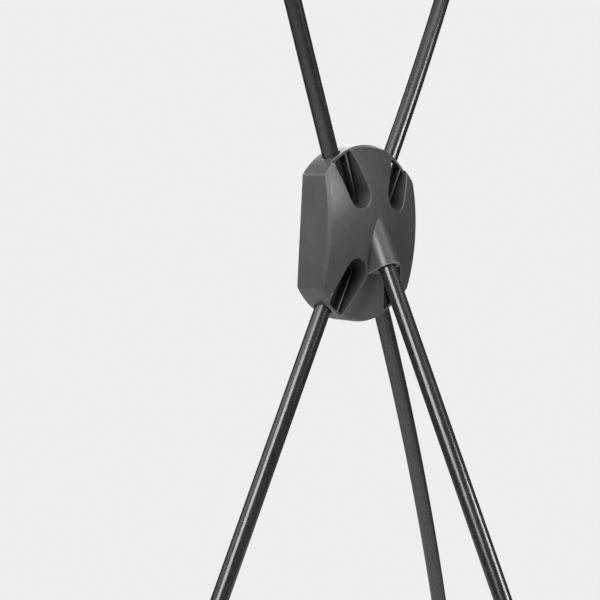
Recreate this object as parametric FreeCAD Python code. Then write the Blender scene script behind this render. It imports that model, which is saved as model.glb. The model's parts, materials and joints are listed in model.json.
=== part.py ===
import FreeCAD, Part
import math
import os

# X-frame tripod stand: a moulded hub holds five plug-in glass-fibre rods.
# Two rods are arms and three are legs: two in front, one behind.
# Every rod is two sections joined by an aluminium ferrule.
# The arm tips and two sliding clips on the front legs take the eyelets of a sheet.
#
# Hub frame: x to the right seen from behind, y forward (towards the sheet), z up the hub.
# The four face rods' axes cross the hub in the plane y = 0.
# Row frame: the hub leans back and the feet stand on z = 0, footprint centred on the origin.

V = FreeCAD.Vector

# ---- driving dimensions, mm and degrees ----
ROD_RADIUS = 4.0
ROD_FIT = 0.05            # radial clearance of a rod in a socket, ferrule, cap or foot
STOP_GAP = 0.1            # air left between a seated rod end and its stop

HUB_RADIUS = 42.3         # the hub is a disc with two flats
HUB_HALF_WIDTH = 33.1     # from the centre to each flat
HUB_FRONT = 7.4           # flat front face
HUB_CORNER = 2.5          # rounding between a flat and the disc
RIM_BEVEL = 1.2
FRONT_BEVEL = 0.5
DOME_RADIUS = 150.0       # curve of the dome across the hub
DOME_RISE_RADIUS = 105.0  # curve of the dome up the hub
DOME_HEIGHT = 15.0        # crown of the dome behind the rod axes
DOME_WALL = 2.6
SIDE_WALL = 2.2

SPLAY = 25.2              # face rod from the hub's long axis
SOCKET_OFFSET = 5.0       # face rod axis from the centre line, at mid height
SOCKET_SEAT = 19.4        # rod end along its axis, from mid height
SLOT_HALF = 7.0           # relief slot round each socket
SLOT_END = 20.6           # centre of the slot's round end, along the rod axis
SLOT_FLOOR = 2.0
SLOT_WALL = 1.8
SLOT_EDGE = 0.3           # rolled edge where a slot opens in the dome
RIM_WALL = 1.2            # low wall that carries the rod where its slot leaves the hub
CHANNEL_WALL = 0.8        # thin wall round the rod inside its slot
CHANNEL_CREST = -5.3      # top of the channel and rim walls
MOUTH_LIP = 0.7           # socket mouths open out by this much, this deep

REAR_SPLAY = 27.5         # rear leg from the hub's long axis
BOSS_RADIUS = 6.3
BOSS_MOUTH = V(0, -19.95, -15.5)
BOSS_DEPTH = 27.0         # rear rod's engagement
BOSS_END = 3.0            # solid end behind the rear rod
BOSS_WEB = 9.0            # web under the boss, down to the dome

COVER_THICKNESS = 1.5
COVER_GAP = 0.1
SCREW_SPOTS = [(0, 30), (0, -30), (24, 0), (-24, 0)]
SCREW_RADIUS = 1.3
SCREW_LENGTH = 9.0
SCREW_HOLE_DEPTH = 10.0
HEAD_RADIUS = 2.8
HEAD_HEIGHT = 1.3
POST_RADIUS = 3.2

LEAN = 3.74               # hub leans back
SOCKET_STRAIGHT = 26.0    # straight stretch of a face rod, from its seat
BOW_DIRECTION = 41.8      # the bow points forward by this angle out of the hub plane
INNER_BOW_RADIUS = 2210.0
INNER_BOW_LENGTH = 335.0
OUTER_BOW_RADIUS = 5200.0
OUTER_BOW_LENGTH = 240.0
TIP_STRAIGHT = 150.0
REAR_INNER_LENGTH = 391.0

FERRULE_RADIUS = 5.0
FERRULE_LENGTH = 60.0
FERRULE_BEVEL = 0.5

CAP_RADIUS = 6.0
CAP_GRIP = 20.0           # length of rod inside an arm cap
CAP_END = 5.0
CAP_SHOULDER_RADIUS = 8.0
CAP_SHOULDER = 3.0
PEG_RADIUS = 3.0
PEG_LENGTH = 10.0

CLIP_FROM_TIP = 46.0      # clip's lower end above the rod tip, along the leg
CLIP_RADIUS = 7.0
CLIP_LENGTH = 14.0
CLIP_FIT = 0.1
HOOK_OFFSET = 15.5        # hook finger's axis from the leg's axis
HOOK_RADIUS = 2.5
HOOK_LENGTH = 14.0
HOOK_ARM = 4.0            # thickness of the arm that carries the finger

FOOT_RADIUS = 7.0
FOOT_FLARE = 9.0
FOOT_GRIP = 26.0
FLARE_LENGTH = 12.0
TIP_HEIGHT = 6.0          # leg rod's end above the floor


# ---- helpers ----
def polar(angle):
    return math.sin(math.radians(angle)), math.cos(math.radians(angle))


def cylinder(radius, length, start, direction):
    return Part.makeCylinder(radius, length, start, direction)


def prism(outline, y_low, y_high):
    """Extrude a wire drawn in the plane y = 0 along the hub's y axis."""
    face = Part.Face(outline)
    face.translate(V(0, y_low, 0))
    return face.extrude(V(0, y_high - y_low, 0))


def hub_outline(inset):
    """The disc with two flats, drawn in by inset."""
    radius = HUB_RADIUS - inset
    half = HUB_HALF_WIDTH - inset
    corner = math.sqrt(radius**2 - half**2)
    top = Part.Arc(V(-half, 0, corner), V(0, 0, radius), V(half, 0, corner))
    bottom = Part.Arc(V(half, 0, -corner), V(0, 0, -radius), V(-half, 0, -corner))
    right = Part.LineSegment(V(half, 0, corner), V(half, 0, -corner))
    left = Part.LineSegment(V(-half, 0, -corner), V(-half, 0, corner))
    return Part.Wire([edge.toShape() for edge in (top, right, bottom, left)])


def barrel(inset):
    """Solid whose surface is the dome: a barrel that stands beside the hub, drawn in by inset."""
    centre = DOME_RADIUS - DOME_RISE_RADIUS
    radius = DOME_RISE_RADIUS - inset
    end = centre + math.sqrt(radius**2 - BARREL_HALF**2)
    foot, head = V(end, 0, -BARREL_HALF), V(end, 0, BARREL_HALF)
    side = Part.Arc(foot, V(centre + radius, 0, 0), head).toShape()
    axis_foot, axis_head = V(0, 0, -BARREL_HALF), V(0, 0, BARREL_HALF)
    rest = [Part.makeLine(head, axis_head), Part.makeLine(axis_head, axis_foot), Part.makeLine(axis_foot, foot)]
    solid = Part.Face(Part.Wire([side, *rest])).revolve(V(0, 0, 0), V(0, 0, 1), 360)
    solid.translate(V(0, DOME_RADIUS - DOME_HEIGHT, 0))
    return solid


class Socket:
    """One face rod's axis in the hub frame. side is -1 left or 1 right, up is 1 or -1."""

    def __init__(self, side, up):
        sine, cosine = polar(SPLAY)
        self.base = V(side * SOCKET_OFFSET, 0, 0)
        self.axis = V(side * sine, 0, up * cosine)
        self.across = V(side * cosine, 0, -up * sine)

    def at(self, along, across=0.0):
        return self.base + self.axis * along + self.across * across

    def slot_holds(self, point):
        """True for a point that is in the slot or on its edge, seen from behind."""
        seen = V(point.x, 0, point.z) - self.base
        return abs(seen.dot(self.across)) < SLOT_HALF + TOUCH and seen.dot(self.axis) > SLOT_END - SLOT_HALF - TOUCH

    def stadium(self, half_width, round_centre, far_end):
        """Slot outline round the axis: straight sides and a full-round inner end."""
        a = self.at(far_end, -half_width)
        b = self.at(round_centre, -half_width)
        crown = self.at(round_centre - half_width)
        c = self.at(round_centre, half_width)
        d = self.at(far_end, half_width)
        near, far = Part.makeLine(a, b), Part.makeLine(c, d)
        return Part.Wire([near, Part.Arc(b, crown, c).toShape(), far, Part.makeLine(d, a)])


SOCKETS = {
    "left_arm": Socket(-1, 1),
    "right_arm": Socket(1, 1),
    "left_leg": Socket(-1, -1),
    "right_leg": Socket(1, -1),
}
BEHIND = -40.0            # well behind the dome
BEYOND = 70.0             # well outside the hub, along a rod
BARREL_HALF = 60.0        # well above and below the hub
TOUCH = 0.01              # a point this near an outline is on it
COVER_SEAT = HUB_FRONT - COVER_THICKNESS


# ---- hub ----
def rear_axis():
    """Unit vector up the rear leg's axis, in the hub frame."""
    sine, cosine = polar(REAR_SPLAY)
    return V(0, sine, cosine)


def boss():
    """Rear leg's tube with a web that carries it down to the dome."""
    tube = Part.makeCylinder(BOSS_RADIUS, BOSS_DEPTH + BOSS_END)
    web = Part.makeBox(2 * BOSS_RADIUS, BOSS_WEB, BOSS_WEB, V(-BOSS_RADIUS, 0, 0))
    solid = tube.fuse(web).removeSplitter()
    solid.rotate(V(0, 0, 0), V(1, 0, 0), -REAR_SPLAY)
    solid.translate(BOSS_MOUTH)
    return solid


def hub_shell():
    """Domed outside with rounded corners and a bevelled rim."""
    block = prism(hub_outline(0), BEHIND, HUB_FRONT)
    corners = [e for e in block.Edges if abs(e.Length - (HUB_FRONT - BEHIND)) < 1e-6]
    block = block.makeFillet(HUB_CORNER, corners)
    shell = block.common(barrel(0))
    front = [e for e in shell.Edges if e.BoundBox.YMin > HUB_FRONT - 1e-3]
    shell = shell.makeChamfer(FRONT_BEVEL, front)
    dome = max(shell.Faces, key=lambda face: -face.BoundBox.YMin)
    return shell.makeChamfer(RIM_BEVEL, dome.Edges)


def hub_cavity():
    """Hollow inside, open to the front, with the sockets, boss and screw posts left standing."""
    cavity = prism(hub_outline(SIDE_WALL), BEHIND, COVER_SEAT).common(barrel(DOME_WALL))
    for socket in SOCKETS.values():
        outline = socket.stadium(SLOT_HALF + SLOT_WALL, SLOT_END, BEYOND)
        cavity = cavity.cut(prism(outline, BEHIND, HUB_FRONT))
    for x, z in SCREW_SPOTS:
        cavity = cavity.cut(cylinder(POST_RADIUS, HUB_FRONT - BEHIND, V(x, BEHIND, z), V(0, 1, 0)))
    return cavity.cut(boss())


def socket_opening(socket):
    """Slot that runs out through the rim above the channel and rim walls, and the rod's bore through them."""
    inside_rim = prism(hub_outline(RIM_WALL), BEHIND, HUB_FRONT)
    bore_radius = ROD_RADIUS + ROD_FIT
    outline = socket.stadium(SLOT_HALF, SLOT_END, BEYOND)
    channel_outline = socket.stadium(bore_radius + CHANNEL_WALL, SOCKET_SEAT, BEYOND)
    beside_channel = prism(outline, CHANNEL_CREST, SLOT_FLOOR).cut(prism(channel_outline, CHANNEL_CREST, SLOT_FLOOR))
    trough = prism(socket.stadium(bore_radius, SOCKET_SEAT, BEYOND), CHANNEL_CREST, 0)
    opening = beside_channel.fuse(trough).common(inside_rim).fuse(prism(outline, BEHIND, CHANNEL_CREST))
    bore = cylinder(bore_radius, BEYOND - SOCKET_SEAT, socket.at(SOCKET_SEAT), socket.axis)
    return opening.fuse(bore)


def slot_edges(body):
    """Edges of the dome where the slots open."""
    dome = max(body.Faces, key=lambda face: face.Area if is_dome(face) else 0)
    found = []
    for edge in dome.Edges:
        middle = edge.valueAt((edge.FirstParameter + edge.LastParameter) / 2)
        if any(socket.slot_holds(middle) for socket in SOCKETS.values()):
            found.append(edge)
    return found


def is_dome(face):
    """True for a face of the barrel that the dome is cut from."""
    return face.BoundBox.YMin < CHANNEL_CREST and not isinstance(face.Surface, (Part.Plane, Part.Cylinder))


def rim_crossing(socket):
    """Distance along a face rod's axis at which it leaves the hub's disc."""
    along = SOCKET_OFFSET * polar(SPLAY)[0]
    return -along + math.sqrt(along**2 + HUB_RADIUS**2 - SOCKET_OFFSET**2)


def make_hub_body():
    body = hub_shell().cut(hub_cavity())
    body = body.cut(prism(hub_outline(SIDE_WALL - COVER_GAP), COVER_SEAT, BEYOND))
    body = body.fuse(boss())
    for socket in SOCKETS.values():
        mouth = socket.at(rim_crossing(socket) - MOUTH_LIP)
        body = body.cut(socket_opening(socket))
        body = body.cut(cylinder(ROD_RADIUS + MOUTH_LIP, BEYOND, mouth, socket.axis))
    body = body.cut(cylinder(ROD_RADIUS + ROD_FIT, BOSS_DEPTH, BOSS_MOUTH, rear_axis()))
    body = body.cut(cylinder(ROD_RADIUS + MOUTH_LIP, MOUTH_LIP, BOSS_MOUTH, rear_axis()))
    for x, z in SCREW_SPOTS:
        body = body.cut(cylinder(SCREW_RADIUS + ROD_FIT, SCREW_HOLE_DEPTH, V(x, HUB_FRONT, z), V(0, -1, 0)))
    body = body.removeSplitter()
    return body.makeChamfer(SLOT_EDGE, slot_edges(body))


def make_hub_cover():
    """Flat plate let into the hub's front."""
    plate = prism(hub_outline(SIDE_WALL), COVER_SEAT, HUB_FRONT)
    for x, z in SCREW_SPOTS:
        hole = cylinder(SCREW_RADIUS + 2 * ROD_FIT, COVER_THICKNESS, V(x, HUB_FRONT, z), V(0, -1, 0))
        plate = plate.cut(hole).cut(screw_head(x, z, ROD_FIT))
    return plate


def screw_head(x, z, grow=0.0):
    return Part.makeCone(HEAD_RADIUS + grow, SCREW_RADIUS + grow, HEAD_HEIGHT, V(x, HUB_FRONT, z), V(0, -1, 0))


def make_hub_screws():
    """Countersunk screws with a cross recess, one solid each."""
    arm, blade, depth = 3.2, 0.8, 0.8
    screws = []
    for x, z in SCREW_SPOTS:
        shank = cylinder(SCREW_RADIUS, SCREW_LENGTH, V(x, HUB_FRONT, z), V(0, -1, 0))
        screw = shank.fuse(screw_head(x, z))
        for wide, high in ((arm, blade), (blade, arm)):
            corner = V(x - wide / 2, HUB_FRONT - depth, z - high / 2)
            screw = screw.cut(Part.makeBox(wide, depth, high, corner))
        screws.append(screw.removeSplitter())
    return Part.makeCompound(screws)


# ---- rods ----
class Frame:
    """A point on a rod's centre line, the way the rod runs there and the side it bows to."""

    def __init__(self, point, tangent, normal):
        self.point = point
        self.tangent = tangent
        self.normal = normal

    def along(self, length):
        return Frame(self.point + self.tangent * length, self.tangent, self.normal)

    def bent(self, length, radius):
        sine, cosine = polar(math.degrees(length / radius))
        return Frame(
            self.point + self.tangent * (radius * sine) + self.normal * (radius * (1 - cosine)),
            self.tangent * cosine + self.normal * sine,
            self.normal * cosine - self.tangent * sine,
        )


def straight(frame, length):
    end = frame.along(length)
    return Part.LineSegment(frame.point, end.point).toShape(), end


def bow(frame, length, radius):
    middle, end = frame.bent(length / 2, radius), frame.bent(length, radius)
    return Part.Arc(frame.point, middle.point, end.point).toShape(), end


def rod(frame, edges):
    """Round rod along straight runs and tangent arcs."""
    profile = Part.Wire(Part.makeCircle(ROD_RADIUS, frame.point, frame.tangent))
    return Part.Wire(edges).makePipeShell([profile], True, True)


HALF_FERRULE = FERRULE_LENGTH / 2


def face_rod_start(socket, placement):
    """Seated end of a face rod. Its bow points inward and forward."""
    sine, cosine = polar(BOW_DIRECTION)
    normal = socket.across * -cosine + V(0, sine, 0)
    start = Frame(socket.at(SOCKET_SEAT + STOP_GAP), socket.axis, normal)
    return move_frame(start, placement)


def move_frame(frame, placement):
    turn = placement.Rotation
    return Frame(
        placement.multVec(frame.point), turn.multVec(frame.tangent), turn.multVec(frame.normal)
    )


def face_rod(start):
    """Inner and outer section of a face rod, with the frames at the joint and at the tip."""
    first, a = straight(start, SOCKET_STRAIGHT)
    second, b = bow(a, INNER_BOW_LENGTH, INNER_BOW_RADIUS)
    third, joint = straight(b, HALF_FERRULE)
    inner = rod(start, [first, second, third])
    outer_start = joint.along(STOP_GAP)
    fourth, c = straight(outer_start, HALF_FERRULE)
    fifth, d = bow(c, OUTER_BOW_LENGTH, OUTER_BOW_RADIUS)
    sixth, tip = straight(d, TIP_STRAIGHT)
    outer = rod(outer_start, [fourth, fifth, sixth])
    return inner, outer, joint, tip


def rear_rod(start, floor_tip_height):
    """Straight rear leg, long enough to reach the floor."""
    joint = start.along(REAR_INNER_LENGTH)
    outer_start = joint.along(STOP_GAP)
    outer_length = (outer_start.point.z - floor_tip_height) / -start.tangent.z
    inner = cylinder(ROD_RADIUS, REAR_INNER_LENGTH, start.point, start.tangent)
    outer = cylinder(ROD_RADIUS, outer_length, outer_start.point, start.tangent)
    return inner, outer, joint, outer_start.along(outer_length)


def ferrule(joint):
    """Aluminium tube over both rod ends."""
    start = joint.along(-HALF_FERRULE)
    tube = cylinder(FERRULE_RADIUS, FERRULE_LENGTH, start.point, start.tangent)
    tube = tube.makeChamfer(FERRULE_BEVEL, [e for e in tube.Edges if len(e.Vertexes) == 1])
    return tube.cut(cylinder(ROD_RADIUS + ROD_FIT, FERRULE_LENGTH, start.point, start.tangent))


# ---- ends of the rods ----
def turned(points, start, direction):
    """Solid of revolution: points are (distance along, radius), closed on the axis."""
    closed = [(points[0][0], 0), *points, (points[-1][0], 0), (points[0][0], 0)]
    outline = Part.makePolygon([V(r, 0, along) for along, r in closed])
    solid = Part.Face(outline).revolve(V(0, 0, 0), V(0, 0, 1), 360)
    solid.Placement = FreeCAD.Placement(start, FreeCAD.Rotation(V(0, 0, 1), direction))
    return solid


def arm_cap(tip):
    """Moulded cap: a grip on the rod, a shoulder and a plain peg for the sheet's eyelet."""
    lead, peg_lead = 1.0, 1.2
    top = CAP_GRIP + CAP_END
    profile = [
        (0, CAP_RADIUS - lead),
        (lead, CAP_RADIUS),
        (top - 2 * CAP_SHOULDER, CAP_RADIUS),
        (top - CAP_SHOULDER, CAP_SHOULDER_RADIUS),
        (top, CAP_SHOULDER_RADIUS),
        (top, PEG_RADIUS),
        (top + PEG_LENGTH, PEG_RADIUS),
        (top + PEG_LENGTH + peg_lead, PEG_RADIUS - peg_lead),
    ]
    start = tip.along(-CAP_GRIP)
    cap = turned(profile, start.point, start.tangent)
    bore = CAP_GRIP + STOP_GAP
    return cap.cut(cylinder(ROD_RADIUS + ROD_FIT, bore, start.point, start.tangent))


def across_forward(frame):
    """Unit vector square to a leg, pointing forward."""
    forward = V(0, 1, 0) - frame.tangent * frame.tangent.y
    return forward.normalize()


def sheet_clip(tip):
    """Collar that slides on a leg, with a finger that points down the leg for an eyelet."""
    start = tip.along(-CLIP_FROM_TIP - CLIP_LENGTH)
    out = across_forward(start)
    collar = cylinder(CLIP_RADIUS, CLIP_LENGTH, start.point, start.tangent)
    collar = collar.makeChamfer(FERRULE_BEVEL, [e for e in collar.Edges if len(e.Vertexes) == 1])
    root = start.point + out * HOOK_OFFSET
    finger = cylinder(HOOK_RADIUS, HOOK_ARM + HOOK_LENGTH, root, start.tangent)
    tip_edge = [e for e in finger.Edges if len(e.Vertexes) == 1]
    finger = finger.makeFillet(HOOK_RADIUS / 2, tip_edge)
    arm = Part.makeBox(2 * HOOK_RADIUS, HOOK_OFFSET, HOOK_ARM, V(-HOOK_RADIUS, 0, 0))
    sideways = out.cross(start.tangent)
    arm.Placement = FreeCAD.Placement(start.point, FreeCAD.Rotation(sideways, out, start.tangent, "ZYX"))
    clip = collar.fuse(arm).fuse(finger)
    return clip.cut(cylinder(ROD_RADIUS + CLIP_FIT, CLIP_LENGTH, start.point, start.tangent)).removeSplitter()


def foot(tip):
    """Rubber foot: a sleeve that flares towards the floor and is cut flat on it."""
    below = 3 * TIP_HEIGHT
    profile = [
        (0, FOOT_RADIUS - 1),
        (1, FOOT_RADIUS),
        (FOOT_GRIP - FLARE_LENGTH, FOOT_RADIUS),
        (FOOT_GRIP, FOOT_FLARE),
        (FOOT_GRIP + below, FOOT_FLARE),
    ]
    start = tip.along(-FOOT_GRIP)
    sleeve = turned(profile, start.point, start.tangent)
    ground = cylinder(BEYOND, BEYOND, V(tip.point.x, tip.point.y, 0), V(0, 0, -1))
    bore = cylinder(ROD_RADIUS + ROD_FIT, FOOT_GRIP + STOP_GAP, start.point, start.tangent)
    return sleeve.cut(ground).cut(bore)


# ---- assembly ----
def hub_placement():
    """Lean the hub back and lift it until the front leg rods end TIP_HEIGHT above the floor."""
    lean = FreeCAD.Rotation(V(1, 0, 0), LEAN)
    leaned = FreeCAD.Placement(V(0, 0, 0), lean)
    tip = face_rod(face_rod_start(SOCKETS["left_leg"], leaned))[3]
    return FreeCAD.Placement(V(0, 0, TIP_HEIGHT - tip.point.z), lean)


def build():
    """Every sub-part by name, and the frames that the joints and mounts are taken from."""
    placement = hub_placement()
    nodes = {"hub_body": make_hub_body(), "hub_cover": make_hub_cover(), "hub_screws": make_hub_screws()}
    for shape in nodes.values():
        shape.Placement = placement
    frames = {}
    for name, socket in SOCKETS.items():
        start = face_rod_start(socket, placement)
        inner, outer, joint, tip = face_rod(start)
        nodes[name + "_inner_rod"] = inner
        nodes[name + "_outer_rod"] = outer
        nodes[name + "_ferrule"] = ferrule(joint)
        if name.endswith("arm"):
            nodes[name + "_cap"] = arm_cap(tip)
        else:
            nodes[name + "_foot"] = foot(tip)
            nodes[name + "_sheet_clip"] = sheet_clip(tip)
        frames[name] = (start, joint, tip)
    down = rear_axis() * -1
    seat = BOSS_MOUTH - down * (BOSS_DEPTH - STOP_GAP)
    start = move_frame(Frame(seat, down, V(1, 0, 0)), placement)
    inner, outer, joint, tip = rear_rod(start, TIP_HEIGHT)
    nodes["rear_leg_inner_rod"] = inner
    nodes["rear_leg_outer_rod"] = outer
    nodes["rear_leg_ferrule"] = ferrule(joint)
    nodes["rear_leg_foot"] = foot(tip)
    frames["rear_leg"] = (start, joint, tip)
    return nodes, frames


def centre_footprint(nodes):
    """Vector that puts the middle of the whole bounding box on the z axis."""
    box = Part.makeCompound(list(nodes.values())).optimalBoundingBox()
    return V(0, -(box.YMin + box.YMax) / 2, 0)


NODES, FRAMES = build()
SHIFT = centre_footprint(NODES)
os.makedirs("parts", exist_ok=True)
for node, shape in NODES.items():
    shape.translate(SHIFT)
    shape.exportStep(f"parts/{node}.step")
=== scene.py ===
import json
import math
import bmesh
import bpy
from mathutils import Matrix, Vector


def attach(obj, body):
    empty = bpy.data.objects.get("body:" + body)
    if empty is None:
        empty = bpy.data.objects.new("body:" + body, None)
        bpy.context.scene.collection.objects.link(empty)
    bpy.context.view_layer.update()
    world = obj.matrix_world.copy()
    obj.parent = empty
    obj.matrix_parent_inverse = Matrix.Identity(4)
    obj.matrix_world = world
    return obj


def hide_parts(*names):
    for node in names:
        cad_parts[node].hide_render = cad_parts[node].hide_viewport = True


# Looks of the X-frame tripod stand, seen from behind its hub.
# Lengths are metres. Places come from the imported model: its boxes, mounts and joint axes.

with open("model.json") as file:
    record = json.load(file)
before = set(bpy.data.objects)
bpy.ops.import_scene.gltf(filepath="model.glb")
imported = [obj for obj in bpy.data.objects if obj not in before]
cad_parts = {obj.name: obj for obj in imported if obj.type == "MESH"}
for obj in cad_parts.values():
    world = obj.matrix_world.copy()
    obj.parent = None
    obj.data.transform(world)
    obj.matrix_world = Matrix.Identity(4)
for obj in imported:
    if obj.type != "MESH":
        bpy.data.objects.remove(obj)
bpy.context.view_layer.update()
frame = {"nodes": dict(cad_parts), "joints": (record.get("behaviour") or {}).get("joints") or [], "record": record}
MOUNTS = {mount["name"]: mount for mount in frame["record"]["mounts"]}
AXES = {joint["name"]: Vector(joint["axis"]).normalized() for joint in frame["joints"]}

ARMS = ("left_arm", "right_arm")
FACE_LEGS = ("left_leg", "right_leg")
LEGS = FACE_LEGS + ("rear_leg",)
MM = 0.001

ROUND_SIDES = 64
SHARP_ANGLE = math.radians(38)
SAME_PLACE = 0.001 * MM       # vertices this close are one

# Camera, from the hub's centre: along x, along the hub's front axis, up the hub.
CAMERA_PLACE = Vector((-0.4727, -0.3859, 0.0052))
CAMERA_BACK = Vector((-0.74596, -0.66296, 0.06345))
CAMERA_UP = Vector((0.01497, 0.07855, 0.99680))
CAMERA_LENS = 75.8


# ---- the hub's frame ----
END_DEPTH = 0.02 * MM         # an end face's points lie this close to its furthest one


def end_centre(node, way):
    """Centre and radius of the end face that lies furthest along way."""
    points = {tuple(round(value, 6) for value in vertex.co) for vertex in frame["nodes"][node].data.vertices}
    furthest = max(Vector(point).dot(way) for point in points)
    face = [Vector(point) for point in points if furthest - Vector(point).dot(way) < END_DEPTH]
    centre = sum(face, Vector()) / len(face)
    return centre, max((point - centre).length for point in face)


def hub_matrix():
    """Hub frame to row frame: x to the right, y forward out of the front face, z up the hub.

    The four face rods are seated evenly round the hub's centre.
    """
    forward = Vector(MOUNTS["hub_front_face"]["axis"]).normalized()
    right = Vector((1, 0, 0))
    turn = Matrix((right, forward, right.cross(forward))).transposed()
    seats = [end_centre(name + "_inner_rod", -AXES[name + "_pull_out"])[0] for name in ARMS + FACE_LEGS]
    return Matrix.Translation(sum(seats, Vector()) / len(seats)) @ turn.to_4x4()


HUB = hub_matrix()


# ---- materials ----
class Look:
    """A material built from nodes. Textures use the object's own coordinates, in metres."""

    def __init__(self, name):
        self.material = bpy.data.materials.new(name)
        self.material.use_nodes = True
        self.tree = self.material.node_tree
        self.shader = self.tree.nodes["Principled BSDF"]
        self.place = self.add("ShaderNodeTexCoord").outputs["Object"]

    def add(self, kind, inputs=None, **settings):
        node = self.tree.nodes.new(kind)
        for key, value in settings.items():
            setattr(node, key, value)
        for key, value in (inputs or {}).items():
            if isinstance(value, bpy.types.NodeSocket):
                self.tree.links.new(value, node.inputs[key])
            else:
                node.inputs[key].default_value = value
        return node

    def attribute(self, name):
        return self.add("ShaderNodeAttribute", attribute_name=name).outputs["Vector"]

    def stretched(self, place, factors):
        mapping = self.add("ShaderNodeMapping", {"Vector": place, "Scale": factors})
        return mapping.outputs["Vector"]

    def noise(self, size, place=None, detail=3.0, roughness=0.55):
        """Noise whose grains are about size metres across."""
        inputs = {"Vector": place or self.place, "Scale": 1 / size, "Detail": detail, "Roughness": roughness}
        return self.add("ShaderNodeTexNoise", inputs).outputs["Fac"]

    def spread(self, value, low, high, start=0.3, end=0.7):
        """Map value from start..end onto low..high."""
        inputs = {"Value": value, "From Min": start, "From Max": end, "To Min": low, "To Max": high}
        return self.add("ShaderNodeMapRange", inputs).outputs["Result"]

    def mix(self, share, first, second):
        node = self.add("ShaderNodeMix", data_type="RGBA")
        factor, first_colour, second_colour = (node.inputs[index] for index in (0, 6, 7))
        for socket, value in ((factor, share), (first_colour, first), (second_colour, second)):
            if isinstance(value, bpy.types.NodeSocket):
                self.tree.links.new(value, socket)
            else:
                socket.default_value = value
        return node.outputs[2]

    def openness(self, reach, inside=False):
        """How open a point is within reach: low in slots, or with inside, low on outer edges."""
        settings = {"samples": 8, "only_local": True, "inside": inside}
        return self.add("ShaderNodeAmbientOcclusion", {"Distance": reach}, **settings).outputs["AO"]

    def bump(self, height, depth, under=None):
        inputs = {"Height": height, "Distance": depth}
        if under:
            inputs["Normal"] = under
        return self.add("ShaderNodeBump", inputs).outputs["Normal"]

    def finish(self, colour, roughness, normal=None, **constants):
        sockets = {"Base Color": colour, "Roughness": roughness, "Normal": normal}
        for key, value in sockets.items():
            if value is not None:
                self.tree.links.new(value, self.shader.inputs[key])
        for key, value in constants.items():
            self.shader.inputs[key.replace("_", " ")].default_value = value
        return self.material


def grey(level, warmth=0.0):
    return (level * (1 + warmth), level, level * (1 - warmth), 1)


def moulded_plastic(name, level, warmth, roughness, grain=0.35 * MM):
    """Injection-moulded plastic: fine texture, faint flow marks, a painted highlight along outer edges and painted
    shade in the slots, which are also matt.
    """
    look = Look(name)
    fine = look.noise(grain, detail=2)
    flow = look.noise(9 * MM, look.stretched(look.place, (1, 1, 0.4)), detail=4)
    blotch = look.noise(2.2 * MM, detail=3)
    tone = look.mix(look.spread(flow, 0, 1), grey(level * 0.84, warmth), grey(level * 1.14, warmth))
    tone = look.mix(look.spread(fine, 0, 0.35, 0.5, 0.72), tone, grey(level * 1.9, warmth))
    # Painted highlight: outer edges, found by occlusion inside the part, are coloured much paler to stand in for
    # the glints along the moulding's edges.
    edge_highlight = look.openness(0.7 * MM, inside=True)
    tone = look.mix(look.spread(edge_highlight, 1, 0, 0.45, 0.85), tone, grey(level * 4.5, warmth))
    # Painted shade: slots and other recesses within 14 mm are coloured near-black; the same mask also makes them
    # rougher.
    slot_shade_openness = look.openness(14 * MM)
    tone = look.mix(look.spread(slot_shade_openness, 0, 1, 0.42, 0.88), grey(level * 0.12, warmth), tone)
    plain = look.spread(blotch, roughness - 0.05, roughness + 0.08)
    sheltered = look.spread(slot_shade_openness, 1, 0, 0.42, 0.88)
    rough = look.add("ShaderNodeMix", {"Factor": sheltered, "A": plain, "B": 0.8}).outputs["Result"]
    normal = look.bump(flow, 0.05 * MM)
    normal = look.bump(fine, 0.03 * MM, normal)
    return look.finish(tone, rough, normal, IOR=1.5)


def glass_fibre(name):
    """Pultruded rod: near-black resin over fibres that run along it."""
    look = Look(name)
    along = look.attribute("grain")
    streaks = look.noise(0.45 * MM, look.stretched(along, (1, 1, 0.02)), detail=4, roughness=0.65)
    bundles = look.noise(1.6 * MM, look.stretched(along, (1, 1, 0.05)), detail=3)
    mottle = look.noise(1.1 * MM, look.stretched(along, (1, 1, 0.35)), detail=3)
    tone = look.mix(look.spread(streaks, 0, 1), grey(0.005, 0.02), grey(0.020, 0.03))
    tone = look.mix(look.spread(mottle, 0, 0.5, 0.45, 0.75), tone, grey(0.035, 0.03))
    rough = look.spread(bundles, 0.15, 0.27)
    normal = look.bump(streaks, 0.035 * MM)
    normal = look.bump(mottle, 0.03 * MM, normal)
    return look.finish(tone, rough, normal, IOR=1.55)


def satin_aluminium(name):
    """Drawn tube, lightly brushed round, with fine handling scratches."""
    look = Look(name)
    along = look.attribute("grain")
    brushed = look.noise(0.3 * MM, look.stretched(along, (0.06, 0.06, 1)), detail=4, roughness=0.7)
    stains = look.noise(6 * MM, along, detail=4)
    tone = look.mix(look.spread(stains, 0, 1), grey(0.40, 0.0), grey(0.54, -0.01))
    rough = look.spread(brushed, 0.24, 0.44)
    return look.finish(tone, rough, look.bump(brushed, 0.01 * MM), Metallic=1.0)


def zinc_steel(name):
    """Zinc-plated screw heads."""
    look = Look(name)
    crystals = look.noise(0.5 * MM, detail=4)
    stains = look.noise(2 * MM, detail=3)
    tone = look.mix(look.spread(stains, 0, 1), grey(0.36, 0.02), grey(0.56, 0.0))
    return look.finish(tone, look.spread(crystals, 0.22, 0.42), look.bump(crystals, 0.01 * MM), Metallic=1.0)


def soft_rubber(name):
    """Matt black rubber with a dusty bloom."""
    look = Look(name)
    bloom = look.noise(4 * MM, detail=5)
    fine = look.noise(0.25 * MM, detail=2)
    tone = look.mix(look.spread(bloom, 0, 1), grey(0.012, 0.02), grey(0.034, 0.03))
    return look.finish(tone, look.spread(fine, 0.62, 0.82), look.bump(fine, 0.04 * MM), IOR=1.45)


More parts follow.
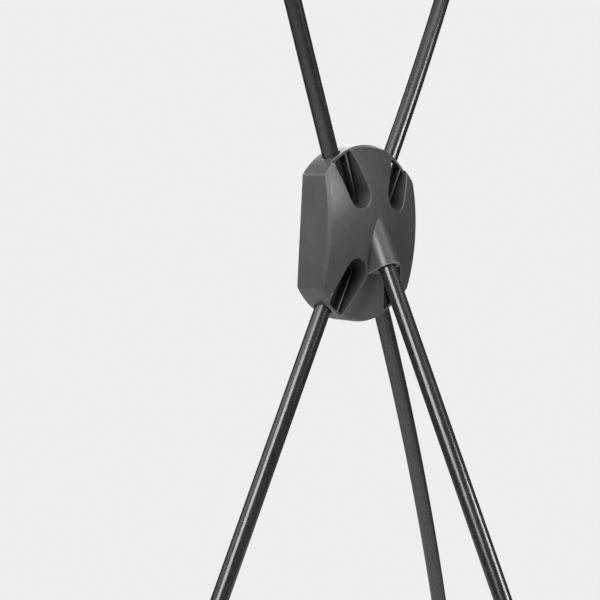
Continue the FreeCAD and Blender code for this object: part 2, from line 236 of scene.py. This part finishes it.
def studio_floor(name):
    look = Look(name)
    paper = look.noise(30 * MM, detail=5)
    tone = look.mix(look.spread(paper, 0, 1), grey(0.80, 0.0), grey(0.82, 0.0))
    fine = look.noise(1.5 * MM, detail=3)
    return look.finish(tone, look.spread(fine, 0.75, 0.85), look.bump(fine, 0.05 * MM))


HUB_PLASTIC = moulded_plastic("hub_moulded_plastic", 0.043, 0.05, 0.34)
COVER_PLASTIC = moulded_plastic("cover_moulded_plastic", 0.040, 0.05, 0.40)
FITTING_PLASTIC = moulded_plastic("fitting_plastic", 0.030, 0.03, 0.40, 0.28 * MM)
ROD_FIBRE = glass_fibre("rod_glass_fibre")
ALUMINIUM = satin_aluminium("ferrule_aluminium")
STEEL = zinc_steel("screw_steel")
RUBBER = soft_rubber("foot_rubber")


# ---- round pieces ----
def square_to(way):
    """Two unit vectors square to way and to each other."""
    aside = Vector((0, 1, 0)) if abs(way.y) < 0.9 else Vector((1, 0, 0))
    first = way.cross(aside).normalized()
    return first, way.cross(first)


def weld(mesh):
    """Join vertices that share a place."""
    welded = bmesh.new()
    welded.from_mesh(mesh)
    bmesh.ops.remove_doubles(welded, verts=welded.verts[:], dist=SAME_PLACE)
    bmesh.ops.recalc_face_normals(welded, faces=welded.faces[:])
    welded.to_mesh(mesh)
    welded.free()


def new_piece(name, vertices, faces, grain, material):
    """Mesh object from its lists, shaded smooth, with grain holding its straightened coordinates."""
    mesh = bpy.data.meshes.new(name)
    mesh.from_pydata(vertices, [], faces)
    mesh.materials.append(material)
    layer = mesh.attributes.new("grain", "FLOAT_VECTOR", "POINT")
    layer.data.foreach_set("vector", [value for point in grain for value in point])
    weld(mesh)
    mesh.polygons.foreach_set("use_smooth", [True] * len(mesh.polygons))
    mesh.set_sharp_from_angle(angle=SHARP_ANGLE)
    piece = bpy.data.objects.new(name, mesh)
    bpy.context.scene.collection.objects.link(piece)
    return piece


def skin(name, rings, material):
    """Skin a row of rings. A ring is (centre, across, up, radius function, distance along)."""
    vertices, grain, faces, starts = [], [], [], []
    for centre, across, up, radius, along in rings:
        starts.append(len(vertices))
        count = 1 if radius is None else ROUND_SIDES
        for side in range(count):
            angle = 2 * math.pi * side / ROUND_SIDES
            reach = 0 if radius is None else radius(angle)
            x, y = reach * math.cos(angle), reach * math.sin(angle)
            vertices.append(centre + across * x + up * y)
            grain.append((x, y, along))
    for (low, high), (ring, following) in zip(zip(starts, starts[1:]), zip(rings, rings[1:])):
        for side in range(ROUND_SIDES):
            after = (side + 1) % ROUND_SIDES
            if ring[3] is None:
                faces.append((low, high + after, high + side))
            elif following[3] is None:
                faces.append((low + side, low + after, high))
            else:
                faces.append((low + side, low + after, high + after, high + side))
    return new_piece(name, vertices, faces, grain, material)


def settle(piece, body, node):
    """Let a piece ride on a body in place of its CAD node."""
    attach(piece, body)
    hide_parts(node)


def turned(name, profile, start, way, material, ripple=None):
    """Turned piece: profile is (distance along, radius) from axis to axis."""
    across, up = square_to(way)
    rings = []
    for along, radius in profile:
        if radius == 0:
            reach = None
        else:
            reach = (lambda angle, s=along, r=radius: r + (ripple(s, r, angle) if ripple else 0))
        rings.append((start + way * along, across, up, reach, along))
    return skin(name, rings, material)


def rounded(profile, radius, steps=4):
    """Profile with its corners rounded, as far as its sides allow."""
    points = [Vector(point) for point in profile]
    made = [profile[0]]
    for before, corner, after in zip(points, points[1:], points[2:]):
        back, on = before - corner, after - corner
        reach = min(radius, 0.45 * back.length, 0.45 * on.length)
        first, last = corner + back.normalized() * reach, corner + on.normalized() * reach
        for step in range(steps + 1):
            t = step / steps
            point = first * (1 - t) ** 2 + corner * 2 * t * (1 - t) + last * t**2
            made.append((point.x, point.y))
    return made + [profile[-1]]


# ---- rods ----
REAR_WAY = AXES["rear_leg_section_pull_off"]
ROD_RADIUS = end_centre("rear_leg_inner_rod", AXES["rear_leg_pull_out"])[1]
FERRULE_ENDS = [end_centre("rear_leg_ferrule", way)[0] for way in (REAR_WAY, -REAR_WAY)]
HALF_FERRULE = (FERRULE_ENDS[0] - FERRULE_ENDS[1]).length / 2
END_BEVEL = 0.4 * MM
BOW_STEPS = 40
STRAIGHT_BEND = math.radians(0.5)   # a rod that bends less than this is straight


class Path:
    """Rod centre line: straight, arc, straight. One straight's length is known."""

    def __init__(self, start, start_way, end, end_way, known, known_last):
        self.start, self.way = start, start_way
        span = end - start
        bend = start_way.angle(end_way)
        self.length = span.length
        self.arc = 0.0
        if bend < STRAIGHT_BEND:
            self.across, self.up = square_to(start_way)
            return
        self.across = (end_way - start_way * start_way.dot(end_way)).normalized()
        self.up = start_way.cross(self.across)
        sine, versine = math.sin(bend), 1 - math.cos(bend)
        run, rise = span.dot(start_way), span.dot(self.across)
        if known_last:
            self.radius = (rise - known * sine) / versine
            self.first = run - self.radius * sine - known * math.cos(bend)
            last = known
        else:
            last = (rise * sine - (run - known) * versine) / (sine**2 - versine * math.cos(bend))
            self.radius = (rise - last * sine) / versine
            self.first = known
        self.bend, self.arc = bend, self.radius * bend
        self.length = self.first + self.arc + last

    def ring(self, along):
        """Centre, across and up at a distance along the centre line."""
        if not self.arc:
            return self.start + self.way * along, self.across, self.up
        turn = min(max((along - self.first) / self.radius, 0), self.bend)
        way = self.way * math.cos(turn) + self.across * math.sin(turn)
        across = self.across * math.cos(turn) - self.way * math.sin(turn)
        swept = self.way * math.sin(turn) + self.across * (1 - math.cos(turn))
        straight = min(along, self.first)
        after = max(along - self.first - self.arc, 0)
        return self.start + self.way * straight + swept * self.radius + way * after, across, self.up


def rod_piece(node, path, body):
    """Smooth rod along its centre line, with bevelled ends, in place of its CAD node."""
    stations = [END_BEVEL + (path.length - 2 * END_BEVEL) * step / BOW_STEPS for step in range(BOW_STEPS + 1)]
    rim = ROD_RADIUS - END_BEVEL
    profile = [(0, None), (0, rim), *((along, ROD_RADIUS) for along in stations)]
    profile += [(path.length, rim), (path.length, None)]
    rings = [
        (*path.ring(along), radius and (lambda angle, r=radius: r), along) for along, radius in profile
    ]
    piece = skin(node + "_round", rings, ROD_FIBRE)
    settle(piece, body, node)


def tip_way(name):
    """Direction of a rod at its tip."""
    if name in ARMS:
        return Vector(MOUNTS[name + "_peg"]["axis"]).normalized()
    return AXES.get(name + "_clip_slide", AXES[name + "_pull_out"])


def make_rods(name):
    seat_way, joint_way = AXES[name + "_pull_out"], AXES[name + "_section_pull_off"]
    inner, outer = name + "_inner_rod", name + "_outer_rod"
    seat, joint = end_centre(inner, -seat_way)[0], end_centre(inner, joint_way)[0]
    second, tip = end_centre(outer, -joint_way)[0], end_centre(outer, tip_way(name))[0]
    rod_piece(inner, Path(seat, seat_way, joint, joint_way, HALF_FERRULE, True), name + "_inner")
    rod_piece(outer, Path(second, joint_way, tip, tip_way(name), HALF_FERRULE, False), name + "_outer")
    return joint, tip


# ---- fittings ----
FIT = 0.05 * MM               # radial clearance on the rod
BORE = ROD_RADIUS + FIT
BORE_STOP = 0.1 * MM          # gap between a rod's end and the bottom of its bore

FERRULE_RADIUS = 5 * MM
FERRULE_ROUND = 0.5 * MM
FERRULE_STEP = 0.4 * MM
FERRULE_GROOVES = (7 * MM, 11 * MM)   # from each end
FERRULE_GROOVE = (0.35 * MM, 1.1 * MM)  # depth and half width

CAP_GRIP, CAP_END = 20 * MM, 5 * MM
CAP_RADIUS, CAP_SHOULDER_RADIUS = 6 * MM, 8 * MM
CAP_LEAD = 1 * MM
CAP_CONE, CAP_SHOULDER = 7 * MM, 3 * MM   # the cone's foot and head, below the top
PEG_BEVEL = 1 * MM
PEG_TIP, PEG_DRAW = 1.2 * MM, 1.3 * MM   # the peg's rounded tip: past its end, and drawn in
RIBS, RIB_DEPTH = 16, 0.35 * MM
RIBS_FROM, RIBS_TO = 2 * MM, 16 * MM
RIB_STEPS = 20
CAP_ROUND = 0.6 * MM

FOOT_GRIP, FOOT_FLARE_LENGTH, FOOT_BELOW = 26 * MM, 12 * MM, 18 * MM
FOOT_RADIUS, FOOT_FLARE = 7 * MM, 9 * MM
FOOT_LEAD = 1 * MM
FOOT_STEPS = 40
FOOT_RINGS = (4 * MM, 7.5 * MM, 11 * MM)
FOOT_RING = (0.6 * MM, 0.8 * MM)      # depth and half width
FOOT_WAIST, FOOT_WAIST_STEP = 9 * MM, 0.5 * MM
FOOT_ROUND = 2 * MM

CLIP_VOXEL = 0.3 * MM
CLIP_SMOOTHING = 6


def grooved(along, radius, centres, depth_and_half_width):
    """Radius of a surface with rolled grooves round it."""
    depth, half = depth_and_half_width

    def shape(centre):
        away = abs(along - centre) / half
        return math.cos(away * math.pi / 2) ** 2 if away < 1 else 0.0

    return radius - depth * sum(shape(centre) for centre in centres)


def make_ferrule(name, joint):
    """Aluminium tube with rolled ends and two rolled grooves that grip each rod."""
    way = AXES[name + "_section_pull_off"]
    length = 2 * HALF_FERRULE
    centres = [*FERRULE_GROOVES, *(length - groove for groove in reversed(FERRULE_GROOVES))]
    stations = [step * FERRULE_STEP for step in range(1, round(length / FERRULE_STEP))]
    end_radius = FERRULE_RADIUS - FERRULE_ROUND
    profile = [(0, BORE), (0, end_radius)]
    profile += [(along, grooved(along, FERRULE_RADIUS, centres, FERRULE_GROOVE)) for along in stations]
    profile += [(length, end_radius), (length, BORE), (0, BORE)]
    piece = turned(name + "_ferrule_tube", profile, joint - way * HALF_FERRULE, way, ALUMINIUM)
    settle(piece, name + "_inner", name + "_ferrule")


def cap_ribs(along, radius, angle):
    """How far a cap's surface is drawn in between its ribs."""
    if not RIBS_FROM < along < RIBS_TO or radius < BORE * 1.1:
        return 0
    return -RIB_DEPTH * (0.5 - 0.5 * math.cos(RIBS * angle)) ** 2


def make_cap(name, tip):
    """Moulded arm cap: ribbed grip, shoulder and peg."""
    way = tip_way(name)
    peg = MOUNTS[name + "_peg"]["dims"]
    peg_radius, peg_length = peg["r_mm"] * MM, peg["length_mm"] * MM
    top = CAP_GRIP + CAP_END
    stop, peg_end = CAP_GRIP + BORE_STOP, top + peg_length
    profile = [
        (stop, 0), (stop, BORE), (0, BORE), (0, CAP_RADIUS - CAP_LEAD), (CAP_LEAD, CAP_RADIUS),
        (top - CAP_CONE, CAP_RADIUS), (top - CAP_SHOULDER, CAP_SHOULDER_RADIUS), (top, CAP_SHOULDER_RADIUS),
        (top, peg_radius), (peg_end - PEG_BEVEL, peg_radius), (peg_end + PEG_TIP, peg_radius - PEG_DRAW),
        (peg_end + PEG_TIP, 0),
    ]
    fine = []
    for first, last in zip(profile, profile[1:]):
        fine.append(first)
        if first[1] == last[1] == CAP_RADIUS:
            run = last[0] - first[0]
            fine += [(first[0] + run * step / RIB_STEPS, CAP_RADIUS) for step in range(1, RIB_STEPS)]
    outline = rounded(fine + [profile[-1]], CAP_ROUND)
    piece = turned(name + "_cap_moulding", outline, tip - way * CAP_GRIP, way, FITTING_PLASTIC, cap_ribs)
    settle(piece, name + "_outer", name + "_cap")


def make_foot(name, tip):
    """Rubber foot with rings round its sleeve, cut flat where it stands."""
    way = tip_way(name)
    end, stop = FOOT_GRIP + FOOT_BELOW, FOOT_GRIP + BORE_STOP
    run = FOOT_GRIP - FOOT_FLARE_LENGTH - FOOT_LEAD
    stations = [FOOT_LEAD + run * step / FOOT_STEPS for step in range(FOOT_STEPS + 1)]
    profile = [(stop, 0), (stop, BORE), (0, BORE), (0, FOOT_RADIUS - FOOT_LEAD)]
    profile += [(along, grooved(along, FOOT_RADIUS, FOOT_RINGS, FOOT_RING)) for along in stations]
    waist = (FOOT_GRIP - FOOT_WAIST, FOOT_RADIUS + FOOT_WAIST_STEP)
    profile += rounded([waist, (FOOT_GRIP, FOOT_FLARE), (end, FOOT_FLARE)], FOOT_ROUND)
    profile.append((end, 0))
    piece = turned(name + "_foot_rubber", profile, tip - way * FOOT_GRIP, way, RUBBER)
    cut_on_floor(piece)
    settle(piece, name + "_outer", name + "_foot")


def cut_on_floor(piece):
    """Cut a mesh off flat at z = 0 and close the cut."""
    mesh = bmesh.new()
    mesh.from_mesh(piece.data)
    everything = mesh.verts[:] + mesh.edges[:] + mesh.faces[:]
    cut = bmesh.ops.bisect_plane(
        mesh, geom=everything, plane_co=(0, 0, 0), plane_no=(0, 0, -1), clear_outer=True
    )
    rim = [item for item in cut["geom_cut"] if isinstance(item, bmesh.types.BMEdge)]
    bmesh.ops.edgeloop_fill(mesh, edges=rim)
    mesh.to_mesh(piece.data)
    mesh.free()
    piece.data.set_sharp_from_angle(angle=SHARP_ANGLE)


def make_clip(name):
    """Sheet clip in its CAD shape, with the soft edges of a moulding."""
    node = name + "_sheet_clip"
    raw = bpy.data.objects.new(node + "_raw", frame["nodes"][node].data.copy())
    bpy.context.scene.collection.objects.link(raw)
    remesh = raw.modifiers.new("remesh", "REMESH")
    remesh.mode, remesh.voxel_size = "VOXEL", CLIP_VOXEL
    smooth = raw.modifiers.new("smooth", "SMOOTH")
    smooth.factor, smooth.iterations = 0.5, CLIP_SMOOTHING
    mesh = bpy.data.meshes.new_from_object(raw.evaluated_get(bpy.context.evaluated_depsgraph_get()))
    bpy.data.objects.remove(raw)
    mesh.materials.clear()
    mesh.materials.append(FITTING_PLASTIC)
    mesh.polygons.foreach_set("use_smooth", [True] * len(mesh.polygons))
    piece = bpy.data.objects.new(name + "_clip_moulding", mesh)
    bpy.context.scene.collection.objects.link(piece)
    settle(piece, name + "_clip", node)


# ---- everything in place ----
for rod_name in ARMS + LEGS:
    joint_point, tip_point = make_rods(rod_name)
    make_ferrule(rod_name, joint_point)
    if rod_name in ARMS:
        make_cap(rod_name, tip_point)
    else:
        make_foot(rod_name, tip_point)
for leg_name in FACE_LEGS:
    make_clip(leg_name)

for node_name, material in (
    ("hub_body", HUB_PLASTIC),
    ("hub_cover", COVER_PLASTIC),
    ("hub_screws", STEEL),
):
    frame["nodes"][node_name].material_slots[0].material = material


# ---- floor, lights and camera ----
FLOOR_RADIUS = 2.2
FLOOR_GAP = 0.2 * MM          # keeps the floor just under the feet
LIGHT_DISTANCE = 1.3
CEILING_DISTANCE, CEILING_SIDE = 2.6, 3.6

# name, azimuth, elevation, size, power
PANELS = (
    ("key", -77, 20, (0.7, 0.8), 20),
    ("upper_left_panel", -80, 46, (1.0, 0.3), 5),
    ("rear_right_panel", 16, 16, (0.4, 0.25), 8),
    ("rear_right_surround", 15, 42, (1.0, 0.4), 2),
    ("overhead", -18, 60, (0.7, 0.7), 6),
    ("front_left_panel", 225, 30, (0.9, 0.9), 5),
    ("front_right_panel", 135, 30, (0.9, 0.9), 8),
)


def make_floor():
    mesh = bmesh.new()
    bmesh.ops.create_circle(mesh, cap_ends=True, radius=FLOOR_RADIUS, segments=128)
    data = bpy.data.meshes.new("floor")
    mesh.to_mesh(data)
    mesh.free()
    data.materials.append(studio_floor("floor_paper"))
    floor = bpy.data.objects.new("floor", data)
    floor.location.z = -FLOOR_GAP
    bpy.context.scene.collection.objects.link(floor)


def softbox(name, azimuth, elevation, distance, size, power, aim):
    """Area light round the hub; azimuth 0 is behind the stand."""
    a, e = math.radians(azimuth), math.radians(elevation)
    back = Vector((math.sin(a) * math.cos(e), -math.cos(a) * math.cos(e), math.sin(e)))
    data = bpy.data.lights.new(name, "AREA")
    data.shape = "RECTANGLE"
    data.size, data.size_y = size
    data.energy = power
    light = bpy.data.objects.new(name, data)
    light.location = aim + back * distance
    light.rotation_mode = "QUATERNION"
    light.rotation_quaternion = (-back).to_track_quat("-Z", "Y")
    bpy.context.scene.collection.objects.link(light)


def make_world():
    """Pale backdrop for the camera, and a dimmer pale surround for the light."""
    world = bpy.data.worlds.new("studio")
    world.use_nodes = True
    bpy.context.scene.world = world
    nodes, links = world.node_tree.nodes, world.node_tree.links
    background = nodes["Background"]
    background.inputs["Color"].default_value = (0.9, 0.9, 0.9, 1)
    background.inputs["Strength"].default_value = 0.10
    backdrop = nodes.new("ShaderNodeBackground")
    backdrop.inputs["Color"].default_value = (0.86, 0.86, 0.87, 1)
    backdrop.inputs["Strength"].default_value = 1.0
    seen = nodes.new("ShaderNodeLightPath")
    mix = nodes.new("ShaderNodeMixShader")
    links.new(seen.outputs["Is Camera Ray"], mix.inputs[0])
    links.new(background.outputs[0], mix.inputs[1])
    links.new(backdrop.outputs[0], mix.inputs[2])
    links.new(mix.outputs[0], nodes["World Output"].inputs["Surface"])


def make_camera():
    data = bpy.data.cameras.new("camera")
    data.lens = CAMERA_LENS
    data.clip_start, data.clip_end = 0.02, 50
    camera = bpy.data.objects.new("camera", data)
    right = CAMERA_UP.cross(CAMERA_BACK)
    turn = Matrix((right, CAMERA_UP, CAMERA_BACK)).transposed().to_4x4()
    camera.matrix_world = HUB @ Matrix.Translation(CAMERA_PLACE) @ turn
    bpy.context.scene.collection.objects.link(camera)
    bpy.context.scene.camera = camera


make_floor()
for light_name, azimuth, elevation, size, power in PANELS:
    softbox(light_name, azimuth, elevation, LIGHT_DISTANCE, size, power, HUB.translation)
softbox("ceiling", 0, 90, CEILING_DISTANCE, (CEILING_SIDE, CEILING_SIDE), 28, HUB.translation)
make_world()
make_camera()
bpy.context.scene.view_settings.view_transform = "Standard"
